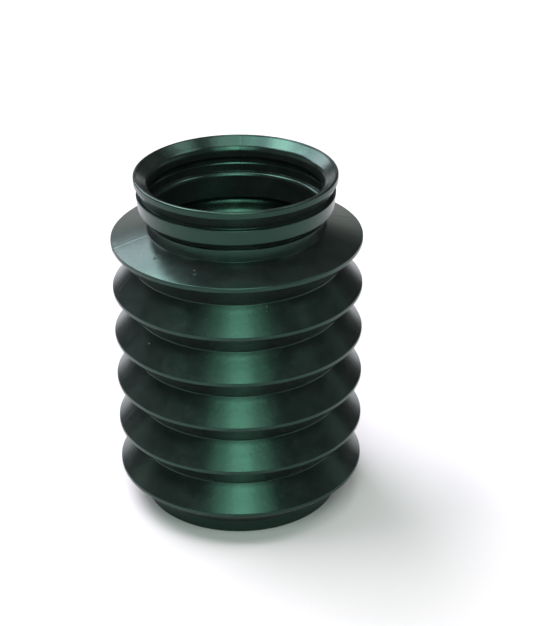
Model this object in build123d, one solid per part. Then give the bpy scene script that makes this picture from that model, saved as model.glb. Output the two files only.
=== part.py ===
from build123d import *
import os

# Rubber bellows boot, moulded in one piece.
# It stands on the end of its cuff. The origin is the centre of that end,
# and +Z runs up the middle to the flared lip. Sizes are in millimetres.
# Every radius is measured from the middle line.

# Wall of the folds and of the cuff
wall = 2.0

# Cuff at the bottom, a short plain ring that grips a tube
cuff_radius = 39.8
cuff_height = 4.9
cuff_edge_round = 0.5
cuff_crease_round = 0.6

# Folds. A crest has a narrow flat edge, and a root is where two cones meet.
crest_radius = 50.0
root_radius = 41.4
crest_count = 5
crest_pitch = 19.7
first_crest_height = 14.5
crest_edge = 1.3
crest_round = 0.45
crest_inner_round = 3.5
root_round = 0.4
root_inner_round = 5.0

# Shoulder, the topmost crest, with a nearly flat upper side
shoulder_rise = 20.4
shoulder_edge = 1.6

# Neck between the shoulder and the band
neck_radius = 35.5
neck_foot_rise = 4.8
neck_height = 4.9
neck_ledge = 0.5
neck_round = 0.25
neck_foot_round = 0.15

# Band, a raised ring round the neck. Its underside slopes in to the neck.
band_foot_radius = 38.5
band_radius = 39.2
band_slope_height = 3.6
band_height = 6.0
band_round = 0.3

# Groove between the band and the lip, with a sloping upper side
groove_radius = 37.2
groove_height = 5.3
groove_round = 0.3

# Lip, flared outwards, with a small bead along its top
lip_radius = 40.1
lip_height = 2.5
lip_round = 0.7
lip_foot_round = 0.25
bead_width = 1.2
bead_round = 0.3
bead_step = 0.3
bead_height = 0.5

# Mouth inside the lip, a cone that curves down into the throat
mouth_depth = 3.3
mouth_round = 3.2
throat_radius = 34.0
throat_height = 3.5

# Recess inside the band, with a fine step in its wall and a narrow ledge at its foot
recess_radius = 36.0
recess_ease = 2.0
recess_height = 5.1
recess_step = 0.3
recess_step_height = 1.5
recess_step_drop = 0.45
recess_ledge = 0.2
recess_round = 0.1

# Bore of the neck. One large round leads from the ledge down into it.
neck_bore_radius = 33.7
neck_bore_height = 10.7
neck_bore_round = 0.6


def crest(height, edge):
    """Outer corners of one crest, from its lower edge to its upper edge."""
    low = (crest_radius, height - edge / 2, crest_round)
    high = (crest_radius, height + edge / 2, crest_round)
    return [low, high]


def inset(before, corner, after, depth):
    """The corner moved into the wall, so that both sides of it lie depth further in."""
    first = (Vector(*corner) - Vector(*before)).normalized()
    second = (Vector(*after) - Vector(*corner)).normalized()
    first_inward = Vector(-first.Y, first.X)
    second_inward = Vector(-second.Y, second.X)
    share = depth / (1 + first_inward.dot(second_inward))
    moved = Vector(*corner) + (first_inward + second_inward) * share
    return (moved.X, moved.Y)


def fold_outline():
    """Outer and inner corners of the cuff and the folds, from the bottom up."""
    crest_heights = [first_crest_height + crest_pitch * k for k in range(crest_count)]
    shoulder_height = crest_heights[-1] + shoulder_rise
    edges = [crest_edge] * crest_count + [shoulder_edge]
    crest_heights.append(shoulder_height)

    outer = [(cuff_radius, 0, cuff_edge_round), (cuff_radius, cuff_height, cuff_crease_round)]
    ridge_line = [(cuff_radius, 0), (cuff_radius, cuff_height)]
    for k, height in enumerate(crest_heights):
        if k > 0:
            fold_bottom = crest_heights[k - 1] + edges[k - 1] / 2
            fold_top = height - edges[k] / 2
            root_height = (fold_bottom + fold_top) / 2
            outer.append((root_radius, root_height, root_round))
            ridge_line.append((root_radius, root_height))
        outer += crest(height, edges[k])
        slope = 2 * (crest_radius - root_radius) / (crest_pitch - crest_edge)
        ridge_line.append((crest_radius + slope * edges[k] / 2, height))
    neck_foot_height = shoulder_height + neck_foot_rise
    ridge_line.append((neck_radius, neck_foot_height))

    rounds = [cuff_crease_round]
    for k in range(crest_count):
        rounds += [crest_inner_round, root_inner_round]
    rounds.append(crest_inner_round)
    inner = [(cuff_radius - wall, 0, cuff_edge_round)]
    for k, round_size in enumerate(rounds):
        corner = inset(ridge_line[k], ridge_line[k + 1], ridge_line[k + 2], wall)
        inner.append((*corner, round_size))
    return outer, inner, neck_foot_height


def neck_outline(neck_foot_height):
    """Corners of the neck, band, groove and lip, up the outside and down the bore."""
    neck_top = neck_foot_height + neck_height
    band_foot = neck_top + band_slope_height
    band_top = band_foot + band_height
    lip_foot = band_top + groove_height
    top = lip_foot + lip_height
    outside = [
        (neck_radius, neck_foot_height, neck_foot_round),
        (neck_radius, neck_top, neck_round),
        (neck_radius - neck_ledge, neck_top, 0),
        (band_foot_radius, band_foot, band_round),
        (band_radius, band_top, band_round),
        (groove_radius, band_top, groove_round),
        (lip_radius, lip_foot, lip_foot_round),
        (lip_radius, top, lip_round),
    ]

    bead_radius = lip_radius - bead_width
    mouth_top = top - bead_height
    throat_top = mouth_top - mouth_depth
    throat_foot = throat_top - throat_height
    recess_top = throat_foot - recess_ease
    recess_foot = recess_top - recess_height
    step_height = recess_top - recess_step_height
    step_radius = recess_radius - recess_step
    bore_edge_round = step_radius - neck_bore_radius - recess_ledge
    bore_foot = recess_foot - neck_bore_height
    inside = [
        (bead_radius, top, bead_round),
        (bead_radius - bead_step, mouth_top, 0),
        (throat_radius, throat_top, mouth_round),
        (throat_radius, throat_foot, 0),
        (recess_radius, recess_top, 0),
        (recess_radius, step_height, 0),
        (step_radius, step_height - recess_step_drop, 0),
        (step_radius, recess_foot, recess_round),
        (neck_bore_radius, recess_foot, bore_edge_round),
        (neck_bore_radius, bore_foot, neck_bore_round),
    ]
    return outside, inside


def bellows_boot():
    """The boot's section, turned once round the middle line."""
    fold_outer, fold_inner, neck_foot_height = fold_outline()
    neck_outer, neck_inner = neck_outline(neck_foot_height)
    corners = fold_outer + neck_outer + neck_inner + fold_inner[::-1]
    points = [(radius, 0, height) for radius, height, _ in corners]
    rounds = [round_size for _, _, round_size in corners]
    outline = FilletPolyline(*points, radius=rounds, close=True)
    section = make_face(outline)
    return revolve(section, axis=Axis.Z, revolution_arc=360)


boot = bellows_boot()
boot.label = "bellows_boot"

os.makedirs("parts", exist_ok=True)
export_step(boot, "parts/bellows_boot.step")
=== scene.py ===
import math

import bmesh
import bpy
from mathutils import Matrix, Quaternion, Vector, noise


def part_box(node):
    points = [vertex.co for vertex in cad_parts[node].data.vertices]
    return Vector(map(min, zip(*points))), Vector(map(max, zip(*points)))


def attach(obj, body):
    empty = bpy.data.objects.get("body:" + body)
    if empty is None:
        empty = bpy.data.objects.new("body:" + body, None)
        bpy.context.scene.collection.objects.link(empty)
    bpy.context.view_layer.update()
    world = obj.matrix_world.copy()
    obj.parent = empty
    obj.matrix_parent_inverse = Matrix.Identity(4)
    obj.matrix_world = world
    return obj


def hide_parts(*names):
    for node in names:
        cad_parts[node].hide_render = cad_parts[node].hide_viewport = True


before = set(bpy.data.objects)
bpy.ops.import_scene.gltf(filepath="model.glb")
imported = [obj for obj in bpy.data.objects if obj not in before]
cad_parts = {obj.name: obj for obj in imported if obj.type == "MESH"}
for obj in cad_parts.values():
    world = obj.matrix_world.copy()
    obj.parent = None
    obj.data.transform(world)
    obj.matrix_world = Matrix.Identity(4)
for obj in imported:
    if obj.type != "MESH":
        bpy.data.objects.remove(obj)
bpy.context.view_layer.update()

# The boot is one moulding of black-green rubber, made in a two-part mould round a core.
# Its section is drawn here again, corner by corner, and spun finely, so that its gloss runs
# without facets. The crest radius and the height come from the frame, the rest is the mould's.
mm = 0.001
wall = 2.0 * mm

cuff_radius = 39.8 * mm
cuff_height = 4.9 * mm
cuff_edge_round = 0.5 * mm
cuff_crease_round = 0.6 * mm

crest_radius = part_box("bellows_boot")[1].x
boot_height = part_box("bellows_boot")[1].z
root_radius = 41.4 * mm
crest_count = 5
crest_pitch = 19.7 * mm
first_crest_height = 14.5 * mm
crest_edge = 1.3 * mm
crest_round = 0.45 * mm
crest_inner_round = 3.5 * mm
root_round = 0.4 * mm
root_inner_round = 5.0 * mm
shoulder_rise = 20.4 * mm
shoulder_edge = 1.6 * mm

neck_radius = 35.5 * mm
neck_foot_rise = 4.8 * mm
neck_height = 4.9 * mm
neck_ledge = 0.5 * mm
neck_round = 0.25 * mm
neck_foot_round = 0.15 * mm

band_foot_radius = 38.5 * mm
band_radius = 39.2 * mm
band_slope_height = 3.6 * mm
band_height = 6.0 * mm
band_round = 0.3 * mm

groove_radius = 37.2 * mm
groove_round = 0.3 * mm
lip_radius = 40.1 * mm
lip_height = 2.5 * mm
lip_round = 0.7 * mm
lip_foot_round = 0.25 * mm
bead_width = 1.2 * mm
bead_round = 0.3 * mm
bead_step = 0.3 * mm
bead_height = 0.5 * mm

mouth_depth = 3.3 * mm
mouth_round = 3.2 * mm
throat_radius = 34.0 * mm
throat_height = 3.5 * mm
recess_radius = 36.0 * mm
recess_ease = 2.0 * mm
recess_height = 5.1 * mm
recess_step = 0.3 * mm
recess_step_height = 1.5 * mm
recess_step_drop = 0.45 * mm
recess_ledge = 0.2 * mm
recess_round = 0.1 * mm
neck_bore_radius = 33.7 * mm
neck_bore_height = 10.7 * mm
neck_bore_round = 0.6 * mm


def inset(before, corner, after, depth):
    """The corner moved into the wall, so that both sides of it lie depth further in."""
    first = (Vector(corner) - Vector(before)).normalized()
    second = (Vector(after) - Vector(corner)).normalized()
    first_inward = Vector((-first.y, first.x))
    second_inward = Vector((-second.y, second.x))
    share = depth / (1 + first_inward.dot(second_inward))
    return Vector(corner) + (first_inward + second_inward) * share


def fold_corners():
    """Outer and inner corners of the cuff and the folds, each with the radius of its round."""
    heights = [first_crest_height + crest_pitch * k for k in range(crest_count)]
    heights.append(heights[-1] + shoulder_rise)
    edges = [crest_edge] * crest_count + [shoulder_edge]
    slope = 2 * (crest_radius - root_radius) / (crest_pitch - crest_edge)
    outer = [(cuff_radius, 0, cuff_edge_round), (cuff_radius, cuff_height, cuff_crease_round)]
    ridge_line = [(cuff_radius, 0), (cuff_radius, cuff_height)]
    rounds = [cuff_crease_round]
    for k, height in enumerate(heights):
        if k > 0:
            bottom = heights[k - 1] + edges[k - 1] / 2
            root_height = (bottom + height - edges[k] / 2) / 2
            outer.append((root_radius, root_height, root_round))
            ridge_line.append((root_radius, root_height))
            rounds.append(root_inner_round)
        outer.append((crest_radius, height - edges[k] / 2, crest_round))
        outer.append((crest_radius, height + edges[k] / 2, crest_round))
        ridge_line.append((crest_radius + slope * edges[k] / 2, height))
        rounds.append(crest_inner_round)
    neck_foot = heights[-1] + neck_foot_rise
    ridge_line.append((neck_radius, neck_foot))
    inner = [(cuff_radius - wall, 0, cuff_edge_round)]
    for k, round_size in enumerate(rounds):
        corner = inset(ridge_line[k], ridge_line[k + 1], ridge_line[k + 2], wall)
        inner.append((corner.x, corner.y, round_size))
    return outer, inner, neck_foot


def neck_corners(neck_foot):
    """Corners of the neck, band, groove and lip, up the outside and down the bore."""
    neck_top = neck_foot + neck_height
    band_foot = neck_top + band_slope_height
    band_top = band_foot + band_height
    lip_foot = boot_height - lip_height
    bead_radius = lip_radius - bead_width
    mouth_top = boot_height - bead_height
    throat_top = mouth_top - mouth_depth
    throat_foot = throat_top - throat_height
    recess_top = throat_foot - recess_ease
    recess_foot = recess_top - recess_height
    step_height = recess_top - recess_step_height
    step_radius = recess_radius - recess_step
    bore_edge_round = step_radius - neck_bore_radius - recess_ledge
    return [
        (neck_radius, neck_foot, neck_foot_round),
        (neck_radius, neck_top, neck_round),
        (neck_radius - neck_ledge, neck_top, 0),
        (band_foot_radius, band_foot, band_round),
        (band_radius, band_top, band_round),
        (groove_radius, band_top, groove_round),
        (lip_radius, lip_foot, lip_foot_round),
        (lip_radius, boot_height, lip_round),
        (bead_radius, boot_height, bead_round),
        (bead_radius - bead_step, mouth_top, 0),
        (throat_radius, throat_top, mouth_round),
        (throat_radius, throat_foot, 0),
        (recess_radius, recess_top, 0),
        (recess_radius, step_height, 0),
        (step_radius, step_height - recess_step_drop, 0),
        (step_radius, recess_foot, recess_round),
        (neck_bore_radius, recess_foot, bore_edge_round),
        (neck_bore_radius, recess_foot - neck_bore_height, neck_bore_round),
    ]


def rounded_loop(corners, segments):
    """A closed wire loop in the XZ plane, with each corner bevelled to its radius."""
    shape = bmesh.new()
    loop = [shape.verts.new((radius, 0, height)) for radius, height, _ in corners]
    for k, vert in enumerate(loop):
        shape.edges.new((loop[k - 1], vert))
    reaches = []
    for k, (_, _, round_size) in enumerate(corners):
        before = loop[k].co - loop[k - 1].co
        after = loop[(k + 1) % len(loop)].co - loop[k].co
        reaches.append(round_size * math.tan(before.angle(after) / 2))
    for vert, reach in zip(loop, reaches):
        if reach > 0:
            bmesh.ops.bevel(shape, geom=[vert], offset=reach, offset_type="ABSOLUTE", segments=segments,
                            profile=0.5, affect="VERTICES", material=-1)
    return shape


def raise_seam(shape, azimuth, width, height, side):
    """The fine ridge left where two parts of the mould met, steep on one side and slack on the other.

    Side is 1 outside and -1 inside.
    """
    across = Vector((-math.sin(azimuth), math.cos(azimuth), 0))
    for offset in (-width / 2, 0, width / 2):
        everything = shape.verts[:] + shape.edges[:] + shape.faces[:]
        bmesh.ops.bisect_plane(shape, geom=everything, dist=0.0001 * mm, plane_co=across * offset,
                               plane_no=across)
    shape.normal_update()
    for vert in shape.verts:
        outward = Vector((vert.co.x, vert.co.y, 0)).normalized()
        place = vert.co.dot(across)
        if vert.normal.dot(outward) * side > 0.1 and -0.1 * width < place < 0.6 * width:
            share = 1.0 if place > 0.1 * width else 0.6
            trimmed = 0.6 + noise.noise(vert.co / seam_break)
            vert.co += vert.normal * height * share * max(0.2, min(1.0, trimmed))


round_segments = 5
turns = 312
seam_azimuth = math.radians(14.3)
seam_width = 0.3 * mm
seam_height = 0.1 * mm
core_seam_azimuth = math.radians(85.6)
core_seam_height = 0.07 * mm
seam_break = 5 * mm
edge_wave = 0.09 * mm
edge_wave_length = 7 * mm

fold_outer, fold_inner, neck_foot = fold_corners()
section = fold_outer + neck_corners(neck_foot) + fold_inner[::-1]
boot_shape = rounded_loop(section, round_segments)
bmesh.ops.spin(boot_shape, geom=boot_shape.verts[:] + boot_shape.edges[:], cent=(0, 0, 0), axis=(0, 0, 1),
               dvec=(0, 0, 0), angle=math.tau, steps=turns, use_merge=True, use_duplicate=False)
bmesh.ops.remove_doubles(boot_shape, verts=boot_shape.verts, dist=0.001 * mm)
bmesh.ops.recalc_face_normals(boot_shape, faces=boot_shape.faces)
raise_seam(boot_shape, seam_azimuth, seam_width, seam_height, 1)
raise_seam(boot_shape, core_seam_azimuth, seam_width, core_seam_height, -1)
for vert in boot_shape.verts:
    outward = Vector((vert.co.x, vert.co.y, 0))
    if outward.length > crest_radius - crest_round:
        worn = edge_wave * (0.5 + 0.5 * noise.noise(vert.co / edge_wave_length))
        vert.co -= outward.normalized() * worn
boot_mesh = bpy.data.meshes.new("boot")
boot_shape.to_mesh(boot_mesh)
boot_shape.free()
boot_mesh.shade_smooth()
boot_mesh.set_sharp_from_angle(angle=math.radians(30))
boot = bpy.data.objects.new("boot", boot_mesh)
bpy.context.scene.collection.objects.link(boot)
weights = boot.modifiers.new("weighted_normals", "WEIGHTED_NORMAL")
weights.keep_sharp = True


def linear(code):
    """An sRGB hex colour as linear RGBA."""
    parts = [int(code[k:k + 2], 16) / 255 for k in (1, 3, 5)]
    return tuple(c / 12.92 if c <= 0.04045 else ((c + 0.055) / 1.055) ** 2.4 for c in parts) + (1.0,)


def add_node(tree, kind, inputs=None, **settings):
    """A node of this kind, with its settings made and its inputs set or linked."""
    node = tree.nodes.new(kind)
    for name, value in settings.items():
        setattr(node, name, value)
    for socket, value in (inputs or {}).items():
        if isinstance(value, bpy.types.NodeSocket):
            tree.links.new(value, node.inputs[socket])
        else:
            node.inputs[socket].default_value = value
    return node


def moulded_rubber():
    """Black-green moulded rubber, half gloss, with a turned mould finish, mottling and dust.

    Lengths in the node tree are in millimetres.
    """
    material = bpy.data.materials.new("moulded_rubber")
    material.use_nodes = True
    tree = material.node_tree
    shader = tree.nodes["Principled BSDF"]

    place = add_node(tree, "ShaderNodeTexCoord").outputs["Object"]
    in_mm = add_node(tree, "ShaderNodeMapping", {"Vector": place, "Scale": (1 / mm,) * 3})
    spot = in_mm.outputs["Vector"]
    stretched = add_node(tree, "ShaderNodeMapping", {"Vector": spot, "Scale": (0.015, 0.015, 1.0)})
    turned = stretched.outputs["Vector"]

    def cloud(size, detail, vector=spot, rough=0.5):
        """Noise whose patches are about this many millimetres across."""
        node = add_node(tree, "ShaderNodeTexNoise", {"Vector": vector, "Scale": 1 / size, "Detail": detail,
                                                     "Roughness": rough})
        return node.outputs["Fac"]

    def spread(value, low, high, to_low, to_high):
        """The value taken smoothly from one range to another."""
        node = add_node(tree, "ShaderNodeMapRange", {"Value": value, "From Min": low, "From Max": high,
                                                     "To Min": to_low, "To Max": to_high},
                        interpolation_type="SMOOTHSTEP")
        return node.outputs["Result"]

    def math_node(operation, first, second):
        return add_node(tree, "ShaderNodeMath", {0: first, 1: second}, operation=operation).outputs["Value"]

    def blend(share, first, second):
        """One colour turned into another by a share from 0 to 1."""
        node = add_node(tree, "ShaderNodeMix", {0: share, 6: first, 7: second}, data_type="RGBA")
        return node.outputs[2]

    # Mottling: the mould release dries in patches, which change the gloss a little
    patch_size = 6
    ring_height = 2.2
    patches = spread(cloud(patch_size, 4, rough=0.6), 0.35, 0.65, 0, 1)
    streaks = cloud(ring_height, 3, vector=turned)
    colour = blend(patches, linear("#131716"), linear("#191c1b"))

    # Dust: sparse pale grains that have settled on the rubber
    dust_spacing = 9
    cells = add_node(tree, "ShaderNodeTexVoronoi", {"Vector": spot, "Scale": 1 / dust_spacing}, feature="F1")
    chance = add_node(tree, "ShaderNodeSeparateColor", {"Color": cells.outputs["Color"]}).outputs
    grain_size = spread(chance["Red"], 0.72, 1.0, 0, 0.03)
    grains = math_node("LESS_THAN", cells.outputs["Distance"], grain_size)

    # Grit: a few bigger specks that stick to the shoulder and the folds. Each is given by its azimuth,
    # radius, height and size. The scuffs are dull dark spots, given in the same way.
    def spots(places):
        """A mask that is 1 inside each of the spots."""
        mask = 0.0
        for azimuth, radius, height, size in places:
            turn = math.radians(azimuth)
            centre = (radius * math.cos(turn), radius * math.sin(turn), height)
            away = add_node(tree, "ShaderNodeVectorMath", {0: spot, 1: centre}, operation="DISTANCE")
            mask = math_node("MAXIMUM", mask, spread(away.outputs["Value"], 0.5 * size, size, 1, 0))
        return mask

    grit = spots([(211.8, 43.1, 116.4, 0.35), (216.8, 48.2, 115.0, 0.25), (217.2, 49.4, 114.7, 0.25),
                  (225.0, 48.5, 114.9, 0.2), (247.0, 41.5, 116.8, 0.25), (284.8, 42.2, 102.3, 0.3),
                  (284.3, 43.4, 101.0, 0.2), (217.8, 44.3, 80.3, 0.3)])
    scuffs = spots([(220.8, 41.4, 116.9, 1.3), (248.3, 43.6, 116.3, 0.9)])
    colour = blend(math_node("MAXIMUM", grains, grit), colour, linear("#87918d"))
    tree.links.new(colour, shader.inputs["Base Color"])

    # Gloss: a little duller where patchy, where the fine turned rings run, and on dust and scuffs. The
    # neck and the lip, above the shoulder, are a little glossier.
    shoulder_top, neck_start = 117, 121
    gloss = math_node("ADD", spread(patches, 0, 1, 0.232, 0.254), spread(streaks, 0.3, 0.7, -0.012, 0.012))
    height = add_node(tree, "ShaderNodeSeparateXYZ", {"Vector": spot}).outputs["Z"]
    gloss = math_node("SUBTRACT", gloss, spread(height, shoulder_top, neck_start, 0, 0.02))
    dull = math_node("MAXIMUM", math_node("MAXIMUM", grains, grit), math_node("MULTIPLY", scuffs, 0.6))
    gloss = math_node("MAXIMUM", gloss, dull)
    tree.links.new(gloss, shader.inputs["Roughness"])

    # Relief: a fine skin, turned rings and slow waves, with the grit standing proud
    skin_depth, ring_depth, wave_depth, grit_height = 0.028, 0.014, 0.05, 0.1
    skin = math_node("MULTIPLY", cloud(1.8, 2), skin_depth)
    rings = math_node("MULTIPLY", streaks, ring_depth)
    waves = math_node("MULTIPLY", cloud(9, 2), wave_depth)
    relief = math_node("ADD", math_node("ADD", skin, rings), waves)
    relief = math_node("ADD", relief, math_node("MULTIPLY", grit, grit_height))
    bump = add_node(tree, "ShaderNodeBump", {"Height": relief, "Distance": mm, "Strength": 1.0})
    tree.links.new(bump.outputs["Normal"], shader.inputs["Normal"])

    shader.inputs["IOR"].default_value = 1.5
    shader.inputs["Specular Tint"].default_value = linear("#aaffe0")
    return material


boot_mesh.materials.append(moulded_rubber())
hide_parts("bellows_boot")
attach(boot, "root")

# The floor is a plain sheet of pale paper under the boot.
floor_shape = bmesh.new()
bmesh.ops.create_grid(floor_shape, x_segments=1, y_segments=1, size=3.0)
floor_mesh = bpy.data.meshes.new("floor")
floor_shape.to_mesh(floor_mesh)
floor_shape.free()
floor = bpy.data.objects.new("floor", floor_mesh)
bpy.context.scene.collection.objects.link(floor)
paper = bpy.data.materials.new("floor_paper")
paper.use_nodes = True
paper.node_tree.nodes["Principled BSDF"].inputs["Base Color"].default_value = linear("#ccc9c9")
paper.node_tree.nodes["Principled BSDF"].inputs["Roughness"].default_value = 0.9
floor_mesh.materials.append(paper)

# The camera stands where the photograph was taken from, above and in front of the boot.
camera_distance = 730.4 * mm
camera_elevation = math.radians(28.35)
target = Vector((0, 0, 60 * mm))
camera_yaw = math.radians(0.9525)
camera_pitch = math.radians(1.315)
camera_roll = math.radians(-1.131)
camera_data = bpy.data.cameras.new("camera")
camera_data.sensor_width = 36
camera_data.lens = 102.61
camera_data.clip_start = 10 * mm
camera = bpy.data.objects.new("camera", camera_data)
bpy.context.scene.collection.objects.link(camera)
bpy.context.scene.camera = camera
back = Vector((0, -math.cos(camera_elevation), math.sin(camera_elevation)))
camera.location = target + back * camera_distance
camera.rotation_mode = "QUATERNION"
aim = (-back).to_track_quat("-Z", "Y")
yaw = Quaternion((0, 1, 0), -camera_yaw)
pitch = Quaternion((1, 0, 0), camera_pitch)
roll = Quaternion((0, 0, 1), camera_roll)
camera.rotation_quaternion = aim @ yaw @ pitch @ roll

# Soft boxes stand round the boot in a dark room, 2 m away. A wide key with a narrow brighter core is
# above the camera, a strong box is behind the boot on the left, others hang above, and weak ones near
# the floor draw the outline. Sizes are in metres, and brightness 1 is paper white.
soft_box_distance = 2.0
room_light = 0.06


def soft_box(name, azimuth, elevation, width, height, brightness, colour="#fffdfb"):
    """A soft box that points at the boot. Azimuth 0 is the camera's side, and left is negative."""
    turn, rise = math.radians(azimuth), math.radians(elevation)
    data = bpy.data.lights.new(name, "AREA")
    data.shape = "RECTANGLE"
    data.size = width
    data.size_y = height
    data.energy = math.pi * width * height * brightness
    data.color = linear(colour)[:3]
    light = bpy.data.objects.new(name, data)
    bpy.context.scene.collection.objects.link(light)
    away = Vector((math.sin(turn) * math.cos(rise), -math.cos(turn) * math.cos(rise), math.sin(rise)))
    light.location = target + away * soft_box_distance
    light.rotation_mode = "QUATERNION"
    light.rotation_quaternion = away.to_track_quat("Z", "Y")


soft_box("key", 0, 37, 1.7, 1.5, 2.8, "#e8fff6")
soft_box("key_core", 0, 40, 0.6, 1.35, 4.6, "#e8fff6")
soft_box("zenith", 0, 82, 0.9, 0.9, 4.4, "#fffafd")
soft_box("top_left", -90, 70, 0.8, 0.8, 4.0, "#f4f0ff")
soft_box("top_back", 180, 72, 1.0, 0.42, 2.5)
soft_box("back_left", -143, 56, 1.0, 0.63, 13.5, "#f4f0ff")
soft_box("left_high", -95, 60, 0.8, 0.7, 10.0, "#fffafd")
soft_box("back_left_low", -140, 35, 1.2, 0.7, 6.5, "#f4f0ff")
soft_box("front_left_low", -60, 12, 1.3, 0.7, 0.3)
soft_box("front_right_low", 60, 12, 1.3, 0.7, 0.2)
soft_box("left_low", -95, 12, 1.5, 0.7, 0.6)
soft_box("right_low", 95, 14, 1.5, 0.8, 0.5)
soft_box("right_high", 95, 56, 0.8, 0.6, 4.5, "#fffafd")
soft_box("back_low", 180, 12, 1.5, 0.7, 0.75)
world = bpy.data.worlds.new("dark_room")
bpy.context.scene.world = world
world.use_nodes = True
world.node_tree.nodes["Background"].inputs["Color"].default_value = linear("#ffffff")
world.node_tree.nodes["Background"].inputs["Strength"].default_value = room_light
bpy.context.scene.view_settings.view_transform = "Standard"
